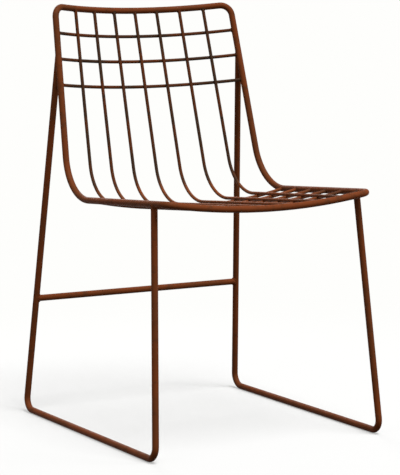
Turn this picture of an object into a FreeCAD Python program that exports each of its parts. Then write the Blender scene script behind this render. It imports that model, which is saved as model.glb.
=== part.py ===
"""Wire mesh chair: a welded chair of bent round rod and wire.

A closed rim rod outlines the seat and the back.  Long wires run from the front
rail, round the waist and up the back, and lie on cross wires that are dished
between the sides of the rim.  Two bent sled frames and a crossbar carry it.

Lengths are millimetres and angles are degrees.  +Z is up, the sitter faces -Y,
and the origin is on the floor under the middle of the two floor bars.  A rise is
a height above the centre lines of the floor bars.
"""
import FreeCAD, Part
import math
import os
import Sketcher

Vector = FreeCAD.Vector

SIZES = [
    ("rod_diameter", 12.4, "rim, sled frames and crossbar"),
    ("wire_diameter", 6.5, "long wires and cross wires"),
    ("weld_sink", 1.2, "how far two crossing wires sink into each other at the weld"),
    ("floor_width", 480.0, "between the centre lines of the floor bars"),
    ("floor_length", 530.5, "floor bar, between its corners with the two leg lines"),
    ("floor_bend_radius", 23.0, "centre line of the bend from floor bar to leg"),
    ("side_lean", 3.22, "lean of each side of the chair towards the middle"),
    ("front_leg_rake", 6.21, "front leg, seen from the side"),
    ("rear_leg_rake", 6.28, "rear leg, seen from the side"),
    ("crossbar_height", 227.5, "centre line of the crossbar above the floor"),
    ("seat_height", 441.4, "centre line of the side rail above the floor, at Y 0"),
    ("seat_slope", 3.9, "rise of the side rails towards the front"),
    ("seat_front", 260.0, "front rail, forward of Y 0"),
    ("front_corner_reach", 17.5, "from the front corner to where its bend starts"),
    ("front_rail_sag", 18.0, "how far the front rail bows down in the middle"),
    ("front_wire_rise", 2.3, "long wires above the front rail, centre to centre"),
    ("waist_reach", 117.6, "corner of side rail and back line, behind Y 0"),
    ("waist_radius", 98.5, "centre line of the rim's bend from seat to back"),
    ("wire_waist_radius", 86.5, "centre line of the long wires' bend from seat to back"),
    ("seat_dish_waist", 25.5, "dip of the seat's cross wires at the waist"),
    ("back_dish_waist", 39.3, "bow of the back's cross wires at the waist"),
    ("back_slope", 14.7, "lean of the back away from upright"),
    ("back_height", 796.2, "top corner of the rim above the floor"),
    ("top_corner_reach", 22.0, "from the top corner to where its bend starts"),
    ("top_rail_bow", 45.4, "how far the top rail bows backwards in the middle"),
    ("top_wire_lap", 2.6, "long wires in front of the top rail, centre to centre"),
    ("long_wire_pitch", 52.4, "between neighbouring long wires at the waist"),
    ("seat_wire_start", 41.0, "rearmost cross wire of the seat, behind Y 0"),
    ("seat_wire_pitch", 53.5, "between cross wires of the seat"),
    ("back_wire_drop", 52.0, "from the top corner down to the first cross wire of the back"),
    ("back_wire_pitch", 51.0, "between cross wires of the back"),
]

LONG_WIRES = 7
SEAT_CROSS_WIRES = 6
BACK_CROSS_WIRES = 3

# Each place is worked out in the document from the cells of the sheet and from
# the places above it.
PLACES = [
    ("lean", "tan(Sizes.side_lean)"),
    ("half_width", "Sizes.floor_width / 2"),
    ("wire_step", "Sizes.wire_diameter - Sizes.weld_sink"),
    ("seat_fall", "tan(Sizes.seat_slope)"),
    ("back_fall", "tan(Sizes.back_slope)"),
    ("seat_rise", "Sizes.seat_height - Sizes.rod_diameter / 2"),
    ("front_rise", "seat_rise + seat_fall * Sizes.seat_front"),
    ("front_half", "half_width - lean * front_rise"),
    ("waist_rise", "seat_rise - seat_fall * Sizes.waist_reach"),
    ("waist_half", "half_width - lean * waist_rise"),
    ("top_rise", "Sizes.back_height - Sizes.rod_diameter / 2"),
    ("top_half", "half_width - lean * top_rise"),
    ("top_reach", "Sizes.waist_reach + back_fall * (top_rise - waist_rise)"),
    ("back_length", "(top_rise - waist_rise) / cos(Sizes.back_slope)"),
    ("front_turn", "2 * atan(Sizes.front_rail_sag / (front_half + Sizes.front_corner_reach))"),
    ("front_radius", "(front_half - Sizes.front_corner_reach * cos(front_turn)) / sin(front_turn)"),
    ("top_turn", "2 * atan(Sizes.top_rail_bow / (top_half + Sizes.top_corner_reach))"),
    ("top_radius", "(top_half - Sizes.top_corner_reach * cos(top_turn)) / sin(top_turn)"),
    ("seat_dish_front", "Sizes.front_rail_sag - Sizes.front_wire_rise + wire_step"),
    ("back_dish_top", "Sizes.top_rail_bow - Sizes.top_wire_lap + wire_step"),
    ("front_leg_rise", "(seat_rise + seat_fall * Sizes.floor_length / 2)"
                       " / (1 + seat_fall * tan(Sizes.front_leg_rake))"),
    ("rear_leg_rise", "(Sizes.floor_length / 2 - Sizes.waist_reach + back_fall * waist_rise)"
                      " / (back_fall + tan(Sizes.rear_leg_rake))"),
    ("bar_rise", "Sizes.crossbar_height - Sizes.rod_diameter / 2"),
    ("bar_half", "half_width - lean * bar_rise"),
]

doc = FreeCAD.newDocument("WireMeshChair")


def make_sheet():
    """Write the driving sizes into the spreadsheet, one row each."""
    sheet = doc.addObject("Spreadsheet::Sheet", "Sizes")
    for row, (alias, value, meaning) in enumerate(SIZES, start=1):
        sheet.set(f"A{row}", alias)
        sheet.set(f"B{row}", str(value))
        sheet.set(f"C{row}", meaning)
        sheet.setAlias(f"B{row}", alias)
    return sheet


def make_places():
    """Hold the derived places as properties that are bound to the sheet."""
    places = doc.addObject("App::VarSet", "Places")
    for name, formula in PLACES:
        places.addProperty("App::PropertyFloat", name, "Places")
        places.setExpression(name, formula)
    return places


sheet = make_sheet()
places = make_places()
doc.recompute()


def number(formula):
    """The present value of a formula on Sizes and Places."""
    return float(sheet.evalExpression(formula))


def bind(thing, **formulas):
    """Bind properties of an object to formulas; two underscores stand for a dot."""
    for name, formula in formulas.items():
        thing.setExpression(name.replace("__", "."), formula)


def tilt(thing, axis, formula):
    """Turn an object about an axis through its own origin, by a bound angle."""
    turned = FreeCAD.Rotation(axis, number(formula))
    thing.Placement = FreeCAD.Placement(thing.Placement.Base, turned)
    bind(thing, Placement__Rotation__Angle=formula)


def origin_plane(body, role):
    """One of a body's own origin planes or axes."""
    return [item for item in body.Origin.OriginFeatures if item.Role == role][0]


def new_sketch(body, name, role):
    """A sketch that lies on one of the origin planes of its body."""
    sketch = body.newObject("Sketcher::SketchObject", name)
    sketch.AttachmentSupport = [(origin_plane(body, role), "")]
    sketch.MapMode = "FlatFace"
    return sketch


def station(sketch, name, across, up):
    """A construction point of a sketch, held at two formulas from its origin."""
    point = Vector(number(across), number(up), 0)
    index = sketch.addGeometry(Part.Point(point), True)
    for axis, formula, value in (("X", across, point.x), ("Y", up, point.y)):
        key = sketch.addConstraint(Sketcher.Constraint("Distance" + axis, -1, 1, index, 1, value))
        sketch.renameConstraint(key, f"{name}_{axis}")
        sketch.setExpression(f"Constraints.{name}_{axis}", formula)
    return index, point


def crossing(run, following):
    """Where the lines of two runs cross."""
    (start, end), (other_start, other_end) = run, following
    along = end - start
    other = other_end - other_start
    gap = other_start - start
    share = (gap.x * other.y - gap.y * other.x) / (along.x * other.y - along.y * other.x)
    return start + along * share


def bend_points(corner, before, after, radius):
    """Start, middle and end of the bend that rounds a corner between two points."""
    back = (before - corner).normalize()
    ahead = (after - corner).normalize()
    half_angle = back.getAngle(ahead) / 2
    inward = (back + ahead).normalize()
    reach = radius / math.tan(half_angle)
    depth = radius / math.sin(half_angle) - radius
    return corner + back * reach, corner + inward * depth, corner + ahead * reach


def bent_path(body, runs, radius_alias):
    """A path sketch of straight runs, each through two stations, with tangent bends."""
    sketch = new_sketch(body, body.Name + "_path", "YZ_Plane")
    indexes = []
    points = []
    for number_of_run, (first, second) in enumerate(runs, start=1):
        a, start = station(sketch, f"run{number_of_run}_from", *first)
        b, end = station(sketch, f"run{number_of_run}_to", *second)
        indexes.append((a, b))
        points.append((start, end))
    radius = number(f"Sizes.{radius_alias}")
    corners = [crossing(points[i], points[i + 1]) for i in range(len(points) - 1)]
    ends = [points[0][0]] + corners + [points[-1][1]]
    bends = [bend_points(ends[i + 1], ends[i], ends[i + 2], radius) for i in range(len(corners))]
    lines = []
    for i in range(len(runs)):
        start = bends[i - 1][2] if i else ends[0]
        end = bends[i][0] if i < len(bends) else ends[-1]
        lines.append(sketch.addGeometry(Part.LineSegment(start, end), False))
    arcs = [sketch.addGeometry(Part.Arc(*bend), False) for bend in bends]
    sketch.addConstraint(Sketcher.Constraint("Coincident", lines[0], 1, indexes[0][0], 1))
    sketch.addConstraint(Sketcher.Constraint("PointOnObject", indexes[0][1], 1, lines[0]))
    for line, (a, b) in zip(lines[1:-1], indexes[1:-1]):
        sketch.addConstraint(Sketcher.Constraint("PointOnObject", a, 1, line))
        sketch.addConstraint(Sketcher.Constraint("PointOnObject", b, 1, line))
    sketch.addConstraint(Sketcher.Constraint("PointOnObject", indexes[-1][0], 1, lines[-1]))
    sketch.addConstraint(Sketcher.Constraint("Coincident", lines[-1], 2, indexes[-1][1], 1))
    for i, arc in enumerate(arcs):
        turn = (sketch.Geometry[arc].StartPoint - bends[i][0]).Length < 1e-6
        near, far = (1, 2) if turn else (2, 1)
        sketch.addConstraint(Sketcher.Constraint("Tangent", lines[i], 2, arc, near))
        sketch.addConstraint(Sketcher.Constraint("Tangent", arc, far, lines[i + 1], 1))
        key = sketch.addConstraint(Sketcher.Constraint("Radius", arc, radius))
        sketch.renameConstraint(key, f"bend{i + 1}_radius")
        sketch.setExpression(f"Constraints.bend{i + 1}_radius", f"Sizes.{radius_alias}")
    return sketch


def circle_sketch(sketch, diameter_alias):
    """Draw the round section of a rod or wire about the sketch's origin."""
    diameter = number(f"Sizes.{diameter_alias}")
    circle = sketch.addGeometry(Part.Circle(Vector(0, 0, 0), Vector(0, 0, 1), diameter / 2), False)
    sketch.addConstraint(Sketcher.Constraint("Coincident", circle, 3, -1, 1))
    key = sketch.addConstraint(Sketcher.Constraint("Diameter", circle, diameter))
    sketch.renameConstraint(key, "section")
    sketch.setExpression("Constraints.section", f"Sizes.{diameter_alias}")


def bent_rod(name, share, runs, radius_alias, diameter_alias):
    """A rod bent in the leaning plane that lies at a share of the half width."""
    body = doc.addObject("PartDesign::Body", name)
    towards_middle = Vector(0, -1 if number(share) > 0 else 1, 0)
    tilt(body, towards_middle, f"abs(atan(({share}) * Places.lean))")
    bind(body, Placement__Base__x=f"({share}) * Places.half_width",
         Placement__Base__z="Sizes.rod_diameter / 2")
    path = bent_path(body, runs, radius_alias)
    doc.recompute()
    section = body.newObject("Sketcher::SketchObject", name + "_section")
    section.AttachmentSupport = [(path, "Edge1")]
    section.MapMode = "NormalToEdge"
    circle_sketch(section, diameter_alias)
    doc.recompute()
    pipe = body.newObject("PartDesign::AdditivePipe", name + "_pipe")
    pipe.Profile = section
    pipe.Spine = (path, [])
    return body


def dished_wire(name, half, dish):
    """A cross wire: an arc of round wire about the body's Y axis, lowest in the middle.

    The section's own X axis points up, so the seam of the wire runs along its top,
    through the notches for the long wires.
    """
    body = doc.addObject("PartDesign::Body", name)
    radius = f"((({half})^2 + ({dish})^2) / (2 * ({dish})))"
    sketch = new_sketch(body, name + "_section", "YZ_Plane")
    sketch.AttachmentOffset = FreeCAD.Placement(Vector(), FreeCAD.Rotation(Vector(0, 0, 1), 90))
    diameter = number("Sizes.wire_diameter")
    place = Vector(-number(radius), 0, 0)
    circle = sketch.addGeometry(Part.Circle(place, Vector(0, 0, 1), diameter / 2), False)
    sketch.addConstraint(Sketcher.Constraint("PointOnObject", circle, 3, -1))
    drop = sketch.addConstraint(Sketcher.Constraint("DistanceX", circle, 3, -1, 1, -place.x))
    key = sketch.addConstraint(Sketcher.Constraint("Diameter", circle, diameter))
    sketch.renameConstraint(drop, "arc_radius")
    sketch.renameConstraint(key, "section")
    sketch.setExpression("Constraints.arc_radius", radius)
    sketch.setExpression("Constraints.section", "Sizes.wire_diameter")
    turned = body.newObject("PartDesign::Revolution", name + "_arc")
    turned.Profile = sketch
    turned.ReferenceAxis = (origin_plane(body, "Y_Axis"), [""])
    turned.Midplane = True
    turned.setExpression("Angle", f"2 * asin(({half}) / {radius})")
    return body, radius


def cut(name, base, tool):
    """The base piece with the space of the tool taken out of it."""
    result = doc.addObject("Part::Cut", name)
    result.Base = base
    result.Tool = tool
    return result


def in_plane(rise, share):
    """A rise, measured along the leaning plane at a share of the half width."""
    return f"({rise}) / cos(atan(({share}) * Places.lean))"


def sled_frame(name, side):
    """Front leg, floor bar and rear leg, bent from one rod."""
    foot = "Sizes.floor_length / 2"
    front_top = f"-{foot} + tan(Sizes.front_leg_rake) * Places.front_leg_rise"
    rear_top = f"{foot} - tan(Sizes.rear_leg_rake) * Places.rear_leg_rise"
    front_leg = ((front_top, in_plane("Places.front_leg_rise", side)), (f"-{foot}", "0"))
    floor_bar = ((f"-{foot}", "0"), (foot, "0"))
    rear_leg = ((foot, "0"), (rear_top, in_plane("Places.rear_leg_rise", side)))
    return bent_rod(name, str(side), [front_leg, floor_bar, rear_leg],
                    "floor_bend_radius", "rod_diameter")


def rail_drop(bow, radius, across):
    """Distance of a bowed rail from the line of its corners, at a distance across."""
    return f"({bow} - {radius} + sqrt({radius}^2 - ({across})^2))"


def dish_drop(half, dish, across):
    """The same for a long wire that lies one wire step inside a dished cross wire."""
    radius = f"((({half})^2 + ({dish})^2) / (2 * ({dish})))"
    return f"(sqrt(({radius} - Places.wire_step)^2 - ({across})^2) - ({radius} - {dish}))"


def long_wire(name, steps_from_middle):
    """A wire from the front rail along the seat, round the waist and up the back."""
    share = f"({steps_from_middle} * Sizes.long_wire_pitch / Places.waist_half)"
    across_waist = f"{share} * Places.waist_half"
    front_drop = rail_drop("Sizes.front_rail_sag", "Places.front_radius",
                           f"{share} * Places.front_half")
    seat_drop = dish_drop("Places.waist_half", "Sizes.seat_dish_waist", across_waist)
    back_drop = dish_drop("Places.waist_half", "Sizes.back_dish_waist", across_waist)
    top_drop = rail_drop("Sizes.top_rail_bow", "Places.top_radius", f"{share} * Places.top_half")
    top_drop = f"({top_drop} - Sizes.top_wire_lap)"
    front_rise = f"Places.front_rise - {front_drop} + Sizes.front_wire_rise"
    seat_end = ("Sizes.waist_reach", in_plane(f"Places.waist_rise - {seat_drop}", share))
    back_start = (f"Sizes.waist_reach + {back_drop} * cos(Sizes.back_slope)",
                  in_plane(f"Places.waist_rise - {back_drop} * sin(Sizes.back_slope)", share))
    top = (f"Places.top_reach + {top_drop} * cos(Sizes.back_slope)",
           in_plane(f"Places.top_rise - {top_drop} * sin(Sizes.back_slope)", share))
    seat_run = (("-Sizes.seat_front", in_plane(front_rise, share)), seat_end)
    return bent_rod(name, share, [seat_run, (back_start, top)],
                    "wire_waist_radius", "wire_diameter")


def seat_cross_wire(name, index):
    """A cross wire of the seat, dipped between the side rails in an upright plane."""
    reach = f"(Sizes.seat_wire_start - {index} * Sizes.seat_wire_pitch)"
    rise = f"(Places.seat_rise - Places.seat_fall * {reach})"
    half = f"(Places.half_width - Places.lean * {rise})"
    back_share = f"(({reach} + Sizes.seat_front) / (Sizes.waist_reach + Sizes.seat_front))"
    dish = f"(Places.seat_dish_front + (Sizes.seat_dish_waist - Places.seat_dish_front)" \
           f" * {back_share})"
    body, radius = dished_wire(name, half, dish)
    bind(body, Placement__Base__y=reach,
         Placement__Base__z=f"{rise} + Sizes.rod_diameter / 2 - {dish} + {radius}")
    return body


def back_cross_wire(name, index):
    """A cross wire of the back, bowed backwards square to the slope of the back."""
    drop = f"(Sizes.back_wire_drop + {index} * Sizes.back_wire_pitch)"
    rise = f"(Places.top_rise - {drop} * cos(Sizes.back_slope))"
    reach = f"(Places.top_reach - {drop} * sin(Sizes.back_slope))"
    half = f"(Places.half_width - Places.lean * {rise})"
    dish = f"(Places.back_dish_top + (Sizes.back_dish_waist - Places.back_dish_top)" \
           f" * {drop} / Places.back_length)"
    body, radius = dished_wire(name, half, dish)
    tilt(body, Vector(1, 0, 0), "90 - Sizes.back_slope")
    bind(body, Placement__Base__y=f"{reach} + ({dish} - {radius}) * cos(Sizes.back_slope)",
         Placement__Base__z=f"{rise} + Sizes.rod_diameter / 2"
                            f" - ({dish} - {radius}) * sin(Sizes.back_slope)")
    return body


def rim_corner_points():
    """Corners of the right half of the rim: top, waist and front."""
    base = number("Sizes.rod_diameter / 2")
    corners = []
    for half, reach, rise in (("Places.top_half", "Places.top_reach", "Places.top_rise"),
                              ("Places.waist_half", "Sizes.waist_reach", "Places.waist_rise"),
                              ("Places.front_half", "-Sizes.seat_front", "Places.front_rise")):
        corners.append(Vector(number(half), number(reach), number(rise) + base))
    return corners


def bowed_rail(corner, side_start, reach, turn, bow, outward):
    """Edges of half a bowed rail and its corner bend, from the middle to the side.

    The rail leaves the corner at the angle turn towards outward, after a bend that
    starts and ends at the given reach from the corner.
    """
    leaving = Vector(-math.cos(turn), 0, 0) + outward * math.sin(turn)
    rail_end = corner + leaving * reach
    middle = Vector(0, corner.y, corner.z) + outward * bow
    radius = rail_end.x / math.sin(turn)
    between = middle + Vector(radius * math.sin(turn / 2), 0, 0) \
        - outward * (radius * (1 - math.cos(turn / 2)))
    side = (side_start - corner).normalize()
    side_end = corner + side * reach
    half_angle = leaving.getAngle(side) / 2
    depth = reach / math.cos(half_angle) - reach * math.tan(half_angle)
    bend_middle = corner + (leaving + side).normalize() * depth
    rail = Part.Arc(middle, between, rail_end).toShape()
    bend = Part.Arc(rail_end, bend_middle, side_end).toShape()
    return rail, bend, side_end


def rim_half_path():
    """Centre line of the right half of the rim, from the top rail to the front rail."""
    top, waist, front = rim_corner_points()
    back_slope = math.radians(number("Sizes.back_slope"))
    behind = Vector(0, math.cos(back_slope), -math.sin(back_slope))
    top_rail, top_bend, back_start = bowed_rail(
        top, waist, number("Sizes.top_corner_reach"), math.radians(number("Places.top_turn")),
        number("Sizes.top_rail_bow"), behind)
    front_rail, front_bend, seat_end = bowed_rail(
        front, waist, number("Sizes.front_corner_reach"),
        math.radians(number("Places.front_turn")), number("Sizes.front_rail_sag"),
        Vector(0, 0, -1))
    bend = bend_points(waist, top, front, number("Sizes.waist_radius"))
    back = Part.LineSegment(back_start, bend[0]).toShape()
    waist_bend = Part.Arc(*bend).toShape()
    seat = Part.LineSegment(bend[2], seat_end).toShape()
    return Part.Wire([top_rail, top_bend, back, waist_bend, seat, front_bend, front_rail])


def make_rim():
    """The closed rim: one half swept along its path, its mirror image, and their union."""
    path = doc.addObject("Part::Feature", "rim_path")
    path.Shape = rim_half_path()
    section = doc.addObject("Part::Circle", "rim_section")
    start = path.Shape.Edges[0].Vertexes[0].Point
    across = FreeCAD.Rotation(Vector(0, 0, 1), Vector(1, 0, 0))
    section.Placement = FreeCAD.Placement(start, across)
    section.setExpression("Radius", "Sizes.rod_diameter / 2")
    half = doc.addObject("Part::Sweep", "rim_right_half")
    half.Sections = [section]
    half.Spine = (path, [f"Edge{i + 1}" for i in range(len(path.Shape.Edges))])
    half.Solid = True
    half.Frenet = False
    mirrored = doc.addObject("Part::Mirroring", "rim_left_half")
    mirrored.Source = half
    mirrored.Normal = Vector(1, 0, 0)
    rim = doc.addObject("Part::Fuse", "rim")
    rim.Base = half
    rim.Tool = mirrored
    rim.Refine = True
    return rim


def make_crossbar(sleds):
    """The straight bar between the rear legs, its ends coped to them."""
    bar = doc.addObject("Part::Cylinder", "crossbar_rod")
    bar.Placement.Rotation = FreeCAD.Rotation(Vector(0, 0, 1), Vector(1, 0, 0))
    bind(bar, Radius="Sizes.rod_diameter / 2", Height="2 * Places.bar_half",
         Placement__Base__x="-Places.bar_half",
         Placement__Base__y="Sizes.floor_length / 2"
                            " - tan(Sizes.rear_leg_rake) * Places.bar_rise",
         Placement__Base__z="Sizes.crossbar_height")
    return cut("coped_crossbar", bar, sleds)


def group(name, members):
    """Several pieces that cut another one together."""
    compound = doc.addObject("Part::Compound", name)
    compound.Links = members
    return compound


pieces = {}
pieces["seat_back_rim"] = rim = make_rim()

raw_sleds = [sled_frame("left_sled_rod", -1), sled_frame("right_sled_rod", 1)]
sleds = group("sled_rods", raw_sleds)
for side, raw_sled in zip(("left", "right"), raw_sleds):
    pieces[f"{side}_sled_frame"] = cut(f"{side}_sled_coped", raw_sled, rim)
pieces["rear_crossbar"] = make_crossbar(sleds)

middle_wire = (LONG_WIRES + 1) / 2
raw_long_wires = [long_wire(f"long_rod_{i}", i - middle_wire) for i in range(1, LONG_WIRES + 1)]
long_wires = group("long_rods", raw_long_wires)
for i, raw_wire in enumerate(raw_long_wires, start=1):
    pieces[f"long_wire_{i}"] = cut(f"long_wire_coped_{i}", raw_wire, rim)

for place, count, maker in (("seat", SEAT_CROSS_WIRES, seat_cross_wire),
                            ("back", BACK_CROSS_WIRES, back_cross_wire)):
    for i in range(count):
        name = f"{place}_cross_wire_{i + 1}"
        notched = cut(name + "_notched", maker(name + "_rod", i), long_wires)
        coped = cut(name + "_coped", notched, rim)
        pieces[name] = cut(name + "_fitted", coped, sleds)

for name, piece in pieces.items():
    piece.Label = name
doc.recompute()

for item in doc.Objects:
    if "Invalid" in item.State or "Error" in item.State:
        raise RuntimeError(f"{item.Label} failed: {item.State}")
for name, piece in pieces.items():
    if piece.Shape.isNull() or not piece.Shape.isValid() or not piece.Shape.Solids:
        raise RuntimeError(f"{name} has no valid solid")

os.makedirs("parts", exist_ok=True)
for name, piece in pieces.items():
    piece.Shape.exportStep(os.path.join("parts", f"{name}.step"))
    box = piece.Shape.BoundBox
    print(f"{name}: {len(piece.Shape.Solids)} solid, {piece.Shape.Volume / 1000:.1f} cm3, "
          f"X {box.XMin:.1f} to {box.XMax:.1f}, Y {box.YMin:.1f} to {box.YMax:.1f}, "
          f"Z {box.ZMin:.1f} to {box.ZMax:.1f}")
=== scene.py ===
"""Blender scene of a wire mesh chair: its coats, its welds, the studio and the camera.

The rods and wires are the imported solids.  This file gives them their coat, adds the
weld beads where they meet, and sets up the floor, the lamps and the camera.  Lengths
are metres and angles are degrees, +Z is up and the sitter faces -Y.
"""

import logging
import math
import random
from collections.abc import Callable, Iterator
from dataclasses import dataclass
from enum import Enum

import bmesh
import bpy
from mathutils import Matrix, Quaternion, Vector
from mathutils.geometry import intersect_line_line


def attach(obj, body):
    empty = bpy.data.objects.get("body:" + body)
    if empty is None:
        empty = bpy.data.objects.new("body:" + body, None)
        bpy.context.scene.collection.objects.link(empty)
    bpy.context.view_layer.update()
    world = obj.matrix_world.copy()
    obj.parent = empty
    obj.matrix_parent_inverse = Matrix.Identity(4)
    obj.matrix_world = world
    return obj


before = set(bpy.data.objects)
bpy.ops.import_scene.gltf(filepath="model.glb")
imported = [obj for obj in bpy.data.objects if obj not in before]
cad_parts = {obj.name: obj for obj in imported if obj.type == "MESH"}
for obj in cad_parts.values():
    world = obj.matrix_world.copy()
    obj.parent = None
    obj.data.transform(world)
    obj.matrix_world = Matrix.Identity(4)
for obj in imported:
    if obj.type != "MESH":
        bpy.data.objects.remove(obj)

LOG = logging.getLogger("wire_mesh_chair")
BODY = "root"
FULL_TURN = 2 * math.pi

Colour = tuple[float, float, float]
Point = tuple[float, float, float]
Range = tuple[float, float]
Socket = bpy.types.NodeSocket


class Slot(Enum):
    """The record's material slots."""

    ROD = "coated_rod"
    WIRE = "coated_wire"


class Side(Enum):
    """The two sides of the chair, seen from the front."""

    LEFT = -1
    RIGHT = 1


class Panel(Enum):
    """The two parts of the mesh that have cross wires."""

    SEAT = "seat"
    BACK = "back"


# Centre lines


@dataclass(frozen=True)
class Rod:
    """A straight stretch of round rod or wire."""

    point: Vector
    along: Vector
    radius: float

    def square_part(self, vector: Vector) -> Vector:
        """The part of a vector that is square to the rod."""
        return vector - self.along * vector.dot(self.along)


@dataclass(frozen=True)
class Bow:
    """A rail or wire bent to an arc across the chair, middle furthest outward."""

    centre: Vector
    outward: Vector
    bend_radius: float
    radius: float

    def at(self, across: float) -> Rod:
        """The stretch of the bow at a distance from the middle of the chair."""
        depth = math.sqrt(self.bend_radius**2 - across**2)
        point = self.centre + Vector((across, 0, 0)) + self.outward * depth
        along = Vector((1, 0, 0)) - self.outward * (across / depth)
        return Rod(point, along.normalized(), self.radius)


@dataclass(frozen=True)
class ChairLines:
    """Centre lines of the chair, from the same sizes as its solids."""

    rod_diameter: float = 0.0124
    wire_diameter: float = 0.0065
    weld_sink: float = 0.0012
    floor_width: float = 0.480
    floor_length: float = 0.5305
    side_lean: float = 3.22
    front_leg_rake: float = 6.21
    rear_leg_rake: float = 6.28
    crossbar_height: float = 0.2275
    seat_height: float = 0.4414
    seat_slope: float = 3.9
    seat_front: float = 0.260
    front_corner_reach: float = 0.0175
    front_rail_sag: float = 0.018
    front_wire_rise: float = 0.0023
    waist_reach: float = 0.1176
    seat_dish_waist: float = 0.0255
    back_dish_waist: float = 0.0393
    back_slope: float = 14.7
    back_height: float = 0.7962
    top_corner_reach: float = 0.022
    top_rail_bow: float = 0.0454
    top_wire_lap: float = 0.0026
    long_wire_pitch: float = 0.0524
    long_wire_count: int = 7
    seat_wire_start: float = 0.041
    seat_wire_pitch: float = 0.0535
    seat_wire_count: int = 6
    back_wire_drop: float = 0.052
    back_wire_pitch: float = 0.051
    back_wire_count: int = 3

    @property
    def rod_radius(self) -> float:
        """Radius of the rim, the sled frames and the crossbar."""
        return self.rod_diameter / 2

    @property
    def wire_radius(self) -> float:
        """Radius of the long wires and the cross wires."""
        return self.wire_diameter / 2

    @property
    def wire_step(self) -> float:
        """Distance between the centre lines of two crossing wires."""
        return self.wire_diameter - self.weld_sink

    @property
    def seat_fall(self) -> float:
        """Fall of the side rails for each metre towards the back."""
        return math.tan(math.radians(self.seat_slope))

    @property
    def behind(self) -> Vector:
        """Direction square to the slope of the back, pointing backwards."""
        slope = math.radians(self.back_slope)
        return Vector((0, math.cos(slope), -math.sin(slope)))

    @property
    def up_the_back(self) -> Vector:
        """Direction up the slope of the back."""
        slope = math.radians(self.back_slope)
        return Vector((0, math.sin(slope), math.cos(slope)))

    def half_width(self, height: float) -> float:
        """Half the distance between the two leaning sides at a height."""
        lean = math.tan(math.radians(self.side_lean))
        return self.floor_width / 2 - lean * (height - self.rod_radius)

    def side_point(self, share: float, reach: float, height: float) -> Vector:
        """A point of the leaning plane at a share of the half width."""
        return Vector((share * self.half_width(height), reach, height))

    def rail_height(self, reach: float) -> float:
        """Height of the side rails of the seat at a place behind the middle."""
        return self.seat_height - self.seat_fall * reach

    @property
    def waist(self) -> tuple[float, float]:
        """Reach and height of the corner between seat and back."""
        return self.waist_reach, self.rail_height(self.waist_reach)

    @property
    def top(self) -> tuple[float, float]:
        """Reach and height of the top corners."""
        reach, height = self.waist
        rise = self.back_height - height
        return reach + math.tan(math.radians(self.back_slope)) * rise, self.back_height

    def side_rail(self, side: Side) -> Rod:
        """The straight side rail of the seat, pointing forwards."""
        front = -self.seat_front
        start = self.side_point(side.value, *self.waist)
        end = self.side_point(side.value, front, self.rail_height(front))
        return Rod(start, (end - start).normalized(), self.rod_radius)

    def back_rail(self, side: Side) -> Rod:
        """The straight side of the back, pointing up."""
        start = self.side_point(side.value, *self.waist)
        end = self.side_point(side.value, *self.top)
        return Rod(start, (end - start).normalized(), self.rod_radius)

    def bowed_rail(self, half: float, reach: float, bow: float) -> float:
        """Bend radius of a bowed rail.

        Args:
            half: half the distance between the corners of the rail.
            reach: from the corner to where its bend starts.
            bow: how far the middle stands off the line of the corners.

        Returns:
            The radius of the rail's centre line.
        """
        turn = 2 * math.atan(bow / (half + reach))
        return (half - reach * math.cos(turn)) / math.sin(turn)

    def front_rail(self) -> Bow:
        """The front rail, bowed down in the middle."""
        height = self.rail_height(-self.seat_front)
        radius = self.bowed_rail(
            self.half_width(height), self.front_corner_reach, self.front_rail_sag)
        centre = Vector((0, -self.seat_front, height - self.front_rail_sag + radius))
        return Bow(centre, Vector((0, 0, -1)), radius, self.rod_radius)

    def top_rail(self) -> Bow:
        """The top rail, bowed backwards in the middle."""
        reach, height = self.top
        radius = self.bowed_rail(
            self.half_width(height), self.top_corner_reach, self.top_rail_bow)
        centre = Vector((0, reach, height)) + self.behind * (self.top_rail_bow - radius)
        return Bow(centre, self.behind, radius, self.rod_radius)

    def dished(self, middle: Vector, outward: Vector, dish: float) -> Bow:
        """A cross wire between the two side rails.

        Args:
            middle: point midway between its ends.
            outward: direction of its dip or bow.
            dish: how far it dips or bows.

        Returns:
            The bow of its centre line.
        """
        half = self.half_width(middle.z)
        radius = (half**2 + dish**2) / (2 * dish)
        return Bow(middle + outward * (dish - radius), outward, radius, self.wire_radius)

    def cross_wires(self, panel: Panel) -> list[Bow]:
        """The cross wires of one panel, in the order of their numbers."""
        if panel is Panel.SEAT:
            return [self.seat_cross_wire(i) for i in range(self.seat_wire_count)]
        return [self.back_cross_wire(i) for i in range(self.back_wire_count)]

    def seat_cross_wire(self, index: int) -> Bow:
        """A cross wire of the seat, counted from the rear."""
        reach = self.seat_wire_start - index * self.seat_wire_pitch
        front = self.front_rail_sag - self.front_wire_rise + self.wire_step
        share = (reach + self.seat_front) / (self.waist_reach + self.seat_front)
        dish = front + (self.seat_dish_waist - front) * share
        middle = Vector((0, reach, self.rail_height(reach)))
        return self.dished(middle, Vector((0, 0, -1)), dish)

    def back_cross_wire(self, index: int) -> Bow:
        """A cross wire of the back, counted from the top."""
        drop = self.back_wire_drop + index * self.back_wire_pitch
        reach, height = self.top
        length = (height - self.waist[1]) / math.cos(math.radians(self.back_slope))
        top = self.top_rail_bow - self.top_wire_lap + self.wire_step
        dish = top + (self.back_dish_waist - top) * drop / length
        middle = Vector((0, reach, height)) - self.up_the_back * drop
        return self.dished(middle, self.behind, dish)

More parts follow.
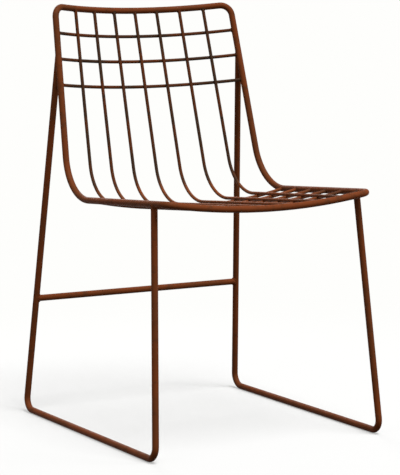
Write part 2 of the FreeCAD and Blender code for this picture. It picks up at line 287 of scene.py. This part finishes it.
    def long_wires(self) -> Iterator[tuple[Rod, Rod]]:
        """The straight seat and back stretches of each long wire, from the left.

        Yields:
            The seat stretch, pointing forwards, and the back stretch, pointing up.
        """
        waist_reach, waist_height = self.waist
        waist_half = self.half_width(waist_height)
        front_half = self.half_width(self.rail_height(-self.seat_front))
        top_half = self.half_width(self.back_height)
        for number in range(self.long_wire_count):
            across = (number - (self.long_wire_count - 1) / 2) * self.long_wire_pitch
            share = across / waist_half
            rail = self.front_rail().at(share * front_half).point
            seat_drop = self.drop_inside(waist_half, self.seat_dish_waist, across)
            back_drop = self.drop_inside(waist_half, self.back_dish_waist, across)
            top = self.top_rail().at(share * top_half).point
            top -= self.behind * self.top_wire_lap
            back = Vector((0, waist_reach, waist_height)) + self.behind * back_drop
            seat_from = self.side_point(share, waist_reach, waist_height - seat_drop)
            seat_to = self.side_point(share, -self.seat_front, rail.z + self.front_wire_rise)
            back_from = self.side_point(share, back.y, back.z)
            back_to = self.side_point(share, top.y, top.z)
            yield (Rod(seat_to, (seat_to - seat_from).normalized(), self.wire_radius),
                   Rod(back_to, (back_to - back_from).normalized(), self.wire_radius))

    def drop_inside(self, half: float, dish: float, across: float) -> float:
        """Drop of a long wire that lies inside a dished cross wire.

        Args:
            half: half the length of the cross wire between its ends.
            dish: how far the cross wire dips or bows.
            across: distance of the long wire from the middle of the chair.

        Returns:
            How far the long wire lies from the line between those ends.
        """
        radius = (half**2 + dish**2) / (2 * dish)
        return math.sqrt((radius - self.wire_step)**2 - across**2) - (radius - dish)

    def front_leg(self, side: Side) -> Rod:
        """A front leg, pointing up."""
        rake = math.tan(math.radians(self.front_leg_rake))
        return self.leg(side, -self.floor_length / 2, rake)

    def rear_leg(self, side: Side) -> Rod:
        """A rear leg, pointing up."""
        rake = math.tan(math.radians(self.rear_leg_rake))
        return self.leg(side, self.floor_length / 2, -rake)

    def leg(self, side: Side, foot: float, rake: float) -> Rod:
        """A leg from its foot, for a gain of reach with each metre of height."""
        start = self.side_point(side.value, foot, self.rod_radius)
        end = self.side_point(side.value, foot + rake, self.rod_radius + 1)
        return Rod(start, (end - start).normalized(), self.rod_radius)

    def crossbar(self, side: Side) -> Rod:
        """The crossbar, pointing at the rear leg of one side."""
        leg = self.rear_leg(Side.RIGHT)
        middle = leg.point + leg.along * ((self.crossbar_height - leg.point.z) / leg.along.z)
        return Rod(Vector((0, middle.y, middle.z)), Vector((side.value, 0, 0)), self.rod_radius)


# Finishes


def add_node(tree: bpy.types.NodeTree, kind: str, **values: object) -> bpy.types.Node:
    """Add a shader node.

    Args:
        tree: the node tree of a material or the world.
        kind: the node's type, without its ShaderNode prefix.
        **values: its settings, other than its sockets.

    Returns:
        The new node.
    """
    node = tree.nodes.new("ShaderNode" + kind)
    for name, value in values.items():
        setattr(node, name, value)
    return node


def set_inputs(node: bpy.types.Node, **values: object) -> None:
    """Set sockets of a node, with underscores for the spaces in their names."""
    for name, value in values.items():
        node.inputs[name.replace("_", " ")].default_value = value


@dataclass(frozen=True)
class Palette:
    """The three colours of a coat, as linear values."""

    brown: Colour
    rust: Colour
    dark: Colour


@dataclass(frozen=True)
class CoatFinish:
    """A satin rust brown coat, browner and redder in soft patches, with a fine grain.

    Patch sizes are given as a noise scale per metre, and the patch, mottle and gloss
    ranges say which part of a noise is stretched to its full effect.  A coat may turn
    to a second, much darker palette over a range of heights: painted shade on the back
    wires, which face away from the overhead light.
    """

    name: str
    palette: Palette
    patch_scale: float
    mottle_scale: float
    grain_scale: float
    grain_depth: float
    grain_strength: float = 0.35
    roughness: Range = (0.42, 0.58)
    specular: float = 0.03
    # Second palette above a range of heights: painted shade for the back wires.
    shaded_back_palette: Palette | None = None
    shaded_back_range: Range = (0.438, 0.456)
    patch_range: Range = (0.38, 0.62)
    mottle_range: Range = (0.52, 0.72)
    gloss_range: Range = (0.3, 0.7)
    detail: float = 2.0
    mottle_detail: float = 4.0
    noise_roughness: float = 0.55

    def make(self) -> bpy.types.Material:
        """Build the node material."""
        material = bpy.data.materials.new(self.name)
        material.use_nodes = True
        tree = material.node_tree
        shader = tree.nodes["Principled BSDF"]
        shader.inputs["Specular IOR Level"].default_value = self.specular
        place = add_node(tree, "TexCoord").outputs["Object"]
        patches = self.noise(tree, place, self.patch_scale, self.detail)
        mottle = self.noise(tree, place, self.mottle_scale, self.mottle_detail)
        grain = self.noise(tree, place, self.grain_scale, self.detail)
        paint = self.paint(tree, self.palette, patches, mottle)
        # Painted shade: above the seat the coat turns to the darker second palette.
        if self.shaded_back_palette:
            upper = self.paint(tree, self.shaded_back_palette, patches, mottle)
            paint = self.mix(tree, self.painted_shade_share(tree, place), paint, upper)
        tree.links.new(paint, shader.inputs["Base Color"])
        gloss = add_node(tree, "MapRange")
        set_inputs(gloss, From_Min=self.gloss_range[0], From_Max=self.gloss_range[1],
                   To_Min=self.roughness[0], To_Max=self.roughness[1])
        tree.links.new(mottle, gloss.inputs["Value"])
        tree.links.new(gloss.outputs["Result"], shader.inputs["Roughness"])
        bump = add_node(tree, "Bump")
        set_inputs(bump, Strength=self.grain_strength, Distance=self.grain_depth)
        tree.links.new(grain, bump.inputs["Height"])
        tree.links.new(bump.outputs["Normal"], shader.inputs["Normal"])
        return material

    def painted_shade_share(self, tree: bpy.types.NodeTree, place: Socket) -> Socket:
        """Share of the second palette, which paints shade on the back wires, from the height
        above the floor.

        Args:
            tree: the material's node tree.
            place: coordinates on the object, which stands on the floor.

        Returns:
            The share, from 0 to 1.
        """
        parts = add_node(tree, "SeparateXYZ")
        tree.links.new(place, parts.inputs["Vector"])
        return self.spread(tree, parts.outputs["Z"], *self.shaded_back_range)

    def paint(self, tree: bpy.types.NodeTree, palette: Palette, patches: Socket,
              mottle: Socket) -> Socket:
        """Colour of the coat.

        Args:
            tree: the material's node tree.
            palette: its three colours.
            patches: the noise that turns brown to rust.
            mottle: the finer noise that darkens it.

        Returns:
            The colour.
        """
        rust_share = self.spread(tree, patches, *self.patch_range)
        warm = self.blend(tree, rust_share, palette.brown, palette.rust)
        dark_share = self.spread(tree, mottle, *self.mottle_range)
        return self.mix(tree, dark_share, warm, palette.dark)

    @staticmethod
    def mix(tree: bpy.types.NodeTree, share: Socket, first: Socket,
            second: Socket | Colour) -> Socket:
        """A colour turned towards a second colour by a share.

        Args:
            tree: the material's node tree.
            share: how far it is turned, from 0 to 1.
            first: the colour at 0.
            second: the colour at 1.

        Returns:
            The mixed colour.
        """
        node = add_node(tree, "Mix", data_type="RGBA")
        tree.links.new(share, node.inputs["Factor"])
        tree.links.new(first, node.inputs["A"])
        if isinstance(second, tuple):
            node.inputs["B"].default_value = (*second, 1)
        else:
            tree.links.new(second, node.inputs["B"])
        return node.outputs["Result"]

    def noise(self, tree: bpy.types.NodeTree, place: Socket, scale: float,
              detail: float) -> Socket:
        """A noise over the object.

        Args:
            tree: the material's node tree.
            place: coordinates on the object.
            scale: how fine its patches are, per metre.
            detail: how many finer layers it has.

        Returns:
            The noise, about 0.5 on average.
        """
        node = add_node(tree, "TexNoise")
        set_inputs(node, Scale=scale, Detail=detail, Roughness=self.noise_roughness)
        tree.links.new(place, node.inputs["Vector"])
        return node.outputs["Fac"]

    @staticmethod
    def spread(tree: bpy.types.NodeTree, value: Socket, low: float, high: float) -> Socket:
        """A value stretched smoothly to the range from 0 to 1.

        Args:
            tree: the node tree of a material.
            value: the value to stretch.
            low: where it becomes 0.
            high: where it becomes 1.

        Returns:
            The stretched value.
        """
        node = add_node(tree, "MapRange", interpolation_type="SMOOTHSTEP")
        set_inputs(node, From_Min=low, From_Max=high)
        tree.links.new(value, node.inputs["Value"])
        return node.outputs["Result"]

    @staticmethod
    def blend(tree: bpy.types.NodeTree, share: Socket, first: Colour, second: Colour) -> Socket:
        """A mix of two fixed colours.

        Args:
            tree: the node tree of a material.
            share: how much of the second colour, from 0 to 1.
            first: the colour at 0.
            second: the colour at 1.

        Returns:
            The mixed colour.
        """
        node = add_node(tree, "Mix", data_type="RGBA")
        node.inputs["A"].default_value = (*first, 1)
        node.inputs["B"].default_value = (*second, 1)
        tree.links.new(share, node.inputs["Factor"])
        return node.outputs["Result"]


ROD_COAT = CoatFinish(
    name="rust_brown_rod_coat",
    palette=Palette(
        brown=(0.110, 0.031, 0.0095),
        rust=(0.136, 0.033, 0.0088),
        dark=(0.085, 0.027, 0.0095),
    ),
    patch_scale=9.0,
    mottle_scale=70.0,
    grain_scale=1400.0,
    grain_depth=0.00012,
)
WIRE_COAT = CoatFinish(
    name="rust_brown_wire_coat",
    palette=Palette(
        brown=(0.132, 0.040, 0.0135),
        rust=(0.165, 0.043, 0.0125),
        dark=(0.098, 0.033, 0.0125),
    ),
    patch_scale=16.0,
    mottle_scale=80.0,
    grain_scale=1600.0,
    grain_depth=0.00010,
    # Painted shade: the back wires take this much darker copy of the coat.
    shaded_back_palette=Palette(
        brown=(0.042, 0.021, 0.0110),
        rust=(0.084, 0.023, 0.0070),
        dark=(0.033, 0.017, 0.0090),
    ),
)


# Welds


@dataclass(frozen=True)
class BeadFinish:
    """Shape of a fillet weld: its size and the small waves along it.

    The bead is full where the two surfaces meet squarely and runs out to its least
    share where they are nearly flush.  It starts as a plain ring, whose radius is
    ring_share times its own.
    """

    radius: float
    steps_round: int
    steps_along: int
    waves: int
    wave_share: float = 0.07
    fill: float = 0.3
    least_share: float = 0.2
    least_narrowness: float = 0.2
    ring_share: float = 4.0

    def radius_at(self, radial: Vector, normal: Vector, angle: float) -> float:
        """Radius of the bead at one place of its seam.

        Args:
            radial: outward direction of the end rod there.
            normal: outward direction of the carrier there.
            angle: place round the end rod with the shift of the waves, in radians.

        Returns:
            The radius in metres.
        """
        square = min((radial - normal).length / math.sqrt(2), 1.0)
        share = self.least_share + (1 - self.least_share) * square
        return self.radius * share * (1 + self.wave_share * math.sin(self.waves * angle))


ROD_BEAD = BeadFinish(radius=0.0014, steps_round=10, steps_along=72, waves=11)
WIRE_BEAD = BeadFinish(radius=0.0011, steps_round=8, steps_along=40, waves=6)


def seam(end: Rod, carrier: Rod, angle: float) -> tuple[Vector, Vector, Vector]:
    """Where a coped rod end meets the rod that carries it.

    Args:
        end: the rod that ends, pointing at the carrier.
        carrier: the rod that it is welded to.
        angle: place round the end rod, in radians.

    Returns:
        The point on both surfaces, and the outward directions of the end and of the
        carrier there.
    """
    radial = Quaternion(end.along, angle) @ end.along.orthogonal().normalized()
    start = end.point + radial * end.radius
    offset = carrier.square_part(start - carrier.point)
    step = carrier.square_part(end.along)
    turn = offset.dot(step)
    inside = turn**2 - step.length_squared * (offset.length_squared - carrier.radius**2)
    travel = (-turn - math.sqrt(max(inside, 0.0))) / step.length_squared
    point = start + end.along * travel
    return point, radial, carrier.square_part(point - carrier.point).normalized()


def bead(end: Rod, carrier: Rod, finish: BeadFinish, phase: float) -> bmesh.types.BMesh:
    """A closed weld bead round a coped rod end.

    Args:
        end: the rod that ends, pointing at the carrier.
        carrier: the rod that it is welded to.
        finish: size and waves of the bead.
        phase: where its waves start, in radians.

    Returns:
        A ring that follows the seam.
    """
    ring_radius = finish.ring_share * finish.radius
    mesh = bmesh.new()
    bmesh.ops.create_circle(mesh, segments=finish.steps_round, radius=finish.radius)
    bmesh.ops.rotate(mesh, verts=mesh.verts, matrix=Matrix.Rotation(math.pi / 2, 3, "X"))
    bmesh.ops.translate(mesh, verts=mesh.verts, vec=(ring_radius, 0, 0))
    bmesh.ops.spin(mesh, geom=mesh.verts[:] + mesh.edges[:], axis=(0, 0, 1),
                   angle=FULL_TURN, steps=finish.steps_along, use_merge=True)
    nudge = FULL_TURN / finish.steps_along / 2
    for vertex in mesh.verts:
        angle = math.atan2(vertex.co.y, vertex.co.x)
        turn = math.atan2(vertex.co.z, math.hypot(vertex.co.x, vertex.co.y) - ring_radius)
        point, radial, normal = seam(end, carrier, angle)
        ahead = seam(end, carrier, angle + nudge)[0] - seam(end, carrier, angle - nudge)[0]
        outward = (radial + normal).normalized()
        across = ahead.normalized().cross(outward).normalized()
        radius = finish.radius_at(radial, normal, angle + phase)
        narrowness = max((radial + normal).length / 2, finish.least_narrowness)
        centre = point + outward * (finish.fill * radius / narrowness)
        vertex.co = centre + (outward * math.cos(turn) + across * math.sin(turn)) * radius
    return mesh


@dataclass(frozen=True)
class CrossingWeld:
    """The small flash that is squeezed out between two crossing wires.

    The place of the crossing is found in a few rounds, each nearer than the last.
    """

    spread: float = 0.0031
    size_range: Range = (0.94, 1.06)
    corner_share: float = 0.2
    thickness: float = 0.0015
    subdivisions: int = 2
    rounds: int = 3

    def make(self, long_wire: Rod, cross_wire: Bow, draw: random.Random) -> bmesh.types.BMesh:
        """Build the flash at one crossing.

        Args:
            long_wire: the straight stretch of the long wire.
            cross_wire: the cross wire that it lies on.
            draw: source of its small differences in size.

        Returns:
            A flat nugget that fills the four corners between the wires.
        """
        across = long_wire.point.x
        for _ in range(self.rounds):
            stretch = cross_wire.at(across)
            upper, lower = intersect_line_line(
                long_wire.point, long_wire.point + long_wire.along,
                stretch.point, stretch.point + stretch.along)
            across = lower.x
        normal = (upper - lower).normalized()
        along = long_wire.along
        sideways = normal.cross(along).normalized()
        size = self.spread * draw.uniform(*self.size_range)
        mesh = bmesh.new()
        bmesh.ops.create_icosphere(mesh, subdivisions=self.subdivisions, radius=1)
        for vertex in mesh.verts:
            angle = math.atan2(vertex.co.y, vertex.co.x)
            reach = size * (1 + self.corner_share * abs(math.sin(2 * angle)))
            vertex.co = Vector((vertex.co.x * reach, vertex.co.y * reach,
                                vertex.co.z * self.thickness))
        turned = Matrix((along, sideways, normal)).transposed()
        bmesh.ops.rotate(mesh, verts=mesh.verts, matrix=turned)
        bmesh.ops.translate(mesh, verts=mesh.verts, vec=(upper + lower) / 2)
        return mesh


def joined_piece(name: str, parts: list[bmesh.types.BMesh], coat: bpy.types.Material,
                 slot: Slot) -> None:
    """Join meshes into one smooth piece that belongs to the chair.

    Args:
        name: name of the piece.
        parts: the meshes, which are used up.
        coat: its material.
        slot: the record's material slot; not used.
    """
    data = bpy.data.meshes.new(name)
    whole = bmesh.new()
    for part in parts:
        bmesh.ops.recalc_face_normals(part, faces=part.faces)
        part.to_mesh(data)
        whole.from_mesh(data)
        part.free()
    for face in whole.faces:
        face.smooth = True
    whole.to_mesh(data)
    whole.free()
    data.materials.append(coat)
    piece = bpy.data.objects.new(name, data)
    bpy.context.scene.collection.objects.link(piece)
    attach(piece, BODY)
    LOG.info("%s: %d faces", name, len(data.polygons))


def dress(node: str, coat: bpy.types.Material) -> None:
    """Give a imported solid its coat."""
    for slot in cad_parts[node].material_slots:
        slot.material = coat
    LOG.info("%s: %s", node, coat.name)


# Sub-assemblies


@dataclass
class SledFrames:
    """The two bent sled frames and the crossbar between their rear legs."""

    lines: ChairLines
    coat: bpy.types.Material

    def build(self) -> None:
        """Dress the rods and weld their ends."""
        for node in ("left_sled_frame", "right_sled_frame", "rear_crossbar"):
            dress(node, self.coat)
        self.weld("front_leg_welds", self.lines.front_leg, self.lines.side_rail)
        self.weld("rear_leg_welds", self.lines.rear_leg, self.lines.back_rail)
        self.weld("crossbar_welds", self.lines.crossbar, self.lines.rear_leg)

    def weld(self, name: str, end: Callable[[Side], Rod],
             carrier: Callable[[Side], Rod]) -> None:
        """Weld the same rod end to its carrier on both sides."""
        beads = [bead(end(side), carrier(side), ROD_BEAD, side.value) for side in Side]
        joined_piece(name, beads, self.coat, Slot.ROD)


@dataclass
class Rim:
    """The closed rim of seat and back."""

    coat: bpy.types.Material

    def build(self) -> None:
        """Dress the rim."""
        dress("seat_back_rim", self.coat)


@dataclass
class LongWires:
    """The wires that run from the front rail round the waist to the top rail."""

    lines: ChairLines
    coat: bpy.types.Material

    def build(self) -> None:
        """Dress the wires and weld their ends to the two bowed rails."""
        front_rail = self.lines.front_rail()
        top_rail = self.lines.top_rail()
        front: list[bmesh.types.BMesh] = []
        top: list[bmesh.types.BMesh] = []
        for number, (seat, back) in enumerate(self.lines.long_wires(), start=1):
            dress(f"long_wire_{number}", self.coat)
            front.append(bead(seat, front_rail.at(seat.point.x), WIRE_BEAD, number))
            top.append(bead(back, top_rail.at(back.point.x), WIRE_BEAD, number))
        joined_piece("front_rail_welds", front, self.coat, Slot.WIRE)
        joined_piece("top_rail_welds", top, self.coat, Slot.WIRE)


@dataclass
class CrossWires:
    """The cross wires of the seat or of the back."""

    lines: ChairLines
    panel: Panel
    coat: bpy.types.Material

    def build(self) -> None:
        """Dress the wires, weld their ends to the rim and weld their crossings."""
        draw = random.Random(self.panel.value)
        rail = self.lines.side_rail if self.panel is Panel.SEAT else self.lines.back_rail
        ends: list[bmesh.types.BMesh] = []
        crossings: list[bmesh.types.BMesh] = []
        for number, wire in enumerate(self.lines.cross_wires(self.panel), start=1):
            dress(f"{self.panel.value}_cross_wire_{number}", self.coat)
            for side in Side:
                ends.append(bead(self.end(wire, side), rail(side), WIRE_BEAD, number))
            for stretches in self.lines.long_wires():
                stretch = stretches[0] if self.panel is Panel.SEAT else stretches[1]
                crossings.append(CrossingWeld().make(stretch, wire, draw))
        joined_piece(f"{self.panel.value}_wire_end_welds", ends, self.coat, Slot.WIRE)
        joined_piece(f"{self.panel.value}_crossing_welds", crossings, self.coat, Slot.WIRE)

    def end(self, wire: Bow, side: Side) -> Rod:
        """The end stretch of a cross wire, pointing at the rail of one side."""
        middle = wire.centre + wire.outward * wire.bend_radius
        across = side.value * self.lines.half_width(middle.z)
        stretch = wire.at(across)
        return Rod(stretch.point, stretch.along * side.value, stretch.radius)


# Studio


def aimed(name: str, data: bpy.types.ID, direction: Vector) -> bpy.types.Object:
    """Add a lamp or a camera to the scene.

    Args:
        name: name of the object.
        data: the settings of the lamp or camera.
        direction: where it points.

    Returns:
        The new object, at the origin.
    """
    item = bpy.data.objects.new(name, data)
    item.rotation_mode = "QUATERNION"
    item.rotation_quaternion = direction.to_track_quat("-Z", "Y")
    bpy.context.scene.collection.objects.link(item)
    return item


@dataclass(frozen=True)
class SoftBox:
    """A square area lamp, aimed at the middle of the chair."""

    name: str
    place: Point
    size: float
    power: float
    aim: Point = (0.0, 0.0, 0.4)

    def hang(self) -> None:
        """Put the lamp up."""
        data = bpy.data.lights.new(self.name, "AREA")
        data.shape = "SQUARE"
        data.size = self.size
        data.energy = self.power
        lamp = aimed(self.name, data, Vector(self.aim) - Vector(self.place))
        lamp.location = self.place
        lamp.visible_camera = False


@dataclass(frozen=True)
class KeyLight:
    """A broad, even light from one direction."""

    name: str
    direction: Point
    breadth: float
    strength: float

    def hang(self) -> None:
        """Put the light up."""
        data = bpy.data.lights.new(self.name, "SUN")
        data.angle = math.radians(self.breadth)
        data.energy = self.strength
        aimed(self.name, data, Vector(self.direction))


@dataclass(frozen=True)
class Viewpoint:
    """The camera's place and direction, with its lens and sensor in millimetres."""

    place: Point = (-2.0018, -3.4755, 0.8714)
    direction: Point = (0.4957, 0.8592, -0.1266)
    lens: float = 160.8
    sensor: float = 36.0
    clip_end: float = 500.0

    def stand(self) -> None:
        """Put the camera up and make it the scene's own."""
        data = bpy.data.cameras.new("camera")
        data.lens = self.lens
        data.sensor_width = self.sensor
        data.clip_end = self.clip_end
        camera = aimed("camera", data, Vector(self.direction))
        camera.location = self.place
        bpy.context.scene.camera = camera


@dataclass(frozen=True)
class Studio:
    """A pale floor that runs out into a white surround, and its soft lamps.

    The floor has one grey for light that bounces off it and another for rays that see
    it, and a glow of its own.  It fades into the surround between two distances.
    """

    white: Colour = (0.991, 0.991, 0.974)
    surround_strength: float = 0.28
    floor_radius: float = 200.0
    floor_segments: int = 96
    bounce: float = 0.03
    seen: float = 0.36
    glow: float = 0.375
    fade_range: Range = (0.6, 1.5)
    lamps: tuple[SoftBox | KeyLight, ...] = (
        KeyLight("overhead_light", direction=(-0.03, 0.36, -0.93), breadth=26.0, strength=3.9),
        SoftBox("right_softbox", place=(2.4, -2.4, 2.0), size=1.2, power=42.0),
        SoftBox("left_softbox", place=(-3.0, -1.6, 1.7), size=1.4, power=18.0),
        SoftBox("rear_softbox", place=(0.8, 3.2, 2.1), size=1.6, power=36.0),
    )

    def build(self) -> None:
        """Lay the floor, light the surround and hang the lamps."""
        self.lay_floor()
        self.light_surround()
        for lamp in self.lamps:
            lamp.hang()
        bpy.context.scene.view_settings.view_transform = "Standard"

    @staticmethod
    def seen_rays(tree: bpy.types.NodeTree) -> Socket:
        """One for rays from the camera, a reflection or a clear surface, else zero."""
        path = add_node(tree, "LightPath")
        total = path.outputs["Is Camera Ray"]
        for name in ("Is Glossy Ray", "Is Transmission Ray"):
            larger = add_node(tree, "Math", operation="MAXIMUM")
            tree.links.new(total, larger.inputs[0])
            tree.links.new(path.outputs[name], larger.inputs[1])
            total = larger.outputs["Value"]
        return total

    def white_node(self, tree: bpy.types.NodeTree, kind: str) -> bpy.types.Node:
        """A background or emission node in the white of the surround.

        Args:
            tree: the node tree of the floor or of the world.
            kind: the node's type, without its ShaderNode prefix.

        Returns:
            The new node.
        """
        node = add_node(tree, kind)
        node.inputs["Color"].default_value = (*self.white, 1)
        return node

    def light_surround(self) -> None:
        """Make the surround white to look at and softer as a light."""
        world = bpy.data.worlds.new("surround")
        bpy.context.scene.world = world
        world.use_nodes = True
        tree = world.node_tree
        light = tree.nodes["Background"]
        light.inputs["Color"].default_value = (*self.white, 1)
        light.inputs["Strength"].default_value = self.surround_strength
        backdrop = self.white_node(tree, "Background")
        mix = add_node(tree, "MixShader")
        tree.links.new(self.seen_rays(tree), mix.inputs["Fac"])
        tree.links.new(light.outputs[0], mix.inputs[1])
        tree.links.new(backdrop.outputs[0], mix.inputs[2])
        tree.links.new(mix.outputs[0], tree.nodes["World Output"].inputs["Surface"])

    def lay_floor(self) -> None:
        """Lay a wide pale disc that keeps the chair's soft shadow."""
        mesh = bmesh.new()
        bmesh.ops.create_circle(mesh, cap_ends=True, segments=self.floor_segments,
                                radius=self.floor_radius)
        data = bpy.data.meshes.new("floor")
        mesh.to_mesh(data)
        mesh.free()
        data.materials.append(self.floor_finish())
        floor = bpy.data.objects.new("floor", data)
        bpy.context.scene.collection.objects.link(floor)

    def floor_finish(self) -> bpy.types.Material:
        """A matt white floor near the chair that fades into the surround."""
        material = bpy.data.materials.new("pale_floor")
        material.use_nodes = True
        tree = material.node_tree
        tree.nodes.remove(tree.nodes["Principled BSDF"])
        seen = self.seen_rays(tree)
        paint = CoatFinish.blend(tree, seen, (self.bounce,) * 3, (self.seen,) * 3)
        matt = add_node(tree, "BsdfDiffuse")
        tree.links.new(paint, matt.inputs["Color"])
        glow = self.white_node(tree, "Emission")
        strength = add_node(tree, "Math", operation="MULTIPLY")
        strength.inputs[1].default_value = self.glow
        tree.links.new(seen, strength.inputs[0])
        tree.links.new(strength.outputs[0], glow.inputs["Strength"])
        near = add_node(tree, "AddShader")
        tree.links.new(matt.outputs[0], near.inputs[0])
        tree.links.new(glow.outputs[0], near.inputs[1])
        far = self.white_node(tree, "Emission")
        distance = add_node(tree, "VectorMath", operation="LENGTH")
        tree.links.new(add_node(tree, "TexCoord").outputs["Object"], distance.inputs[0])
        reach = CoatFinish.spread(tree, distance.outputs["Value"], *self.fade_range)
        share = add_node(tree, "Math", operation="MULTIPLY")
        tree.links.new(reach, share.inputs[0])
        tree.links.new(seen, share.inputs[1])
        mix = add_node(tree, "MixShader")
        tree.links.new(share.outputs[0], mix.inputs["Fac"])
        tree.links.new(near.outputs[0], mix.inputs[1])
        tree.links.new(far.outputs[0], mix.inputs[2])
        tree.links.new(mix.outputs[0], tree.nodes["Material Output"].inputs["Surface"])
        return material


def main() -> None:
    """Dress the chair, weld it, and set up the studio and the camera."""
    logging.basicConfig(level=logging.INFO, format="%(message)s")
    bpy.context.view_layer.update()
    lines = ChairLines()
    rod_coat = ROD_COAT.make()
    wire_coat = WIRE_COAT.make()
    Rim(rod_coat).build()
    SledFrames(lines, rod_coat).build()
    LongWires(lines, wire_coat).build()
    for panel in Panel:
        CrossWires(lines, panel, wire_coat).build()
    Studio().build()
    Viewpoint().stand()


if __name__ == "__main__":
    main()
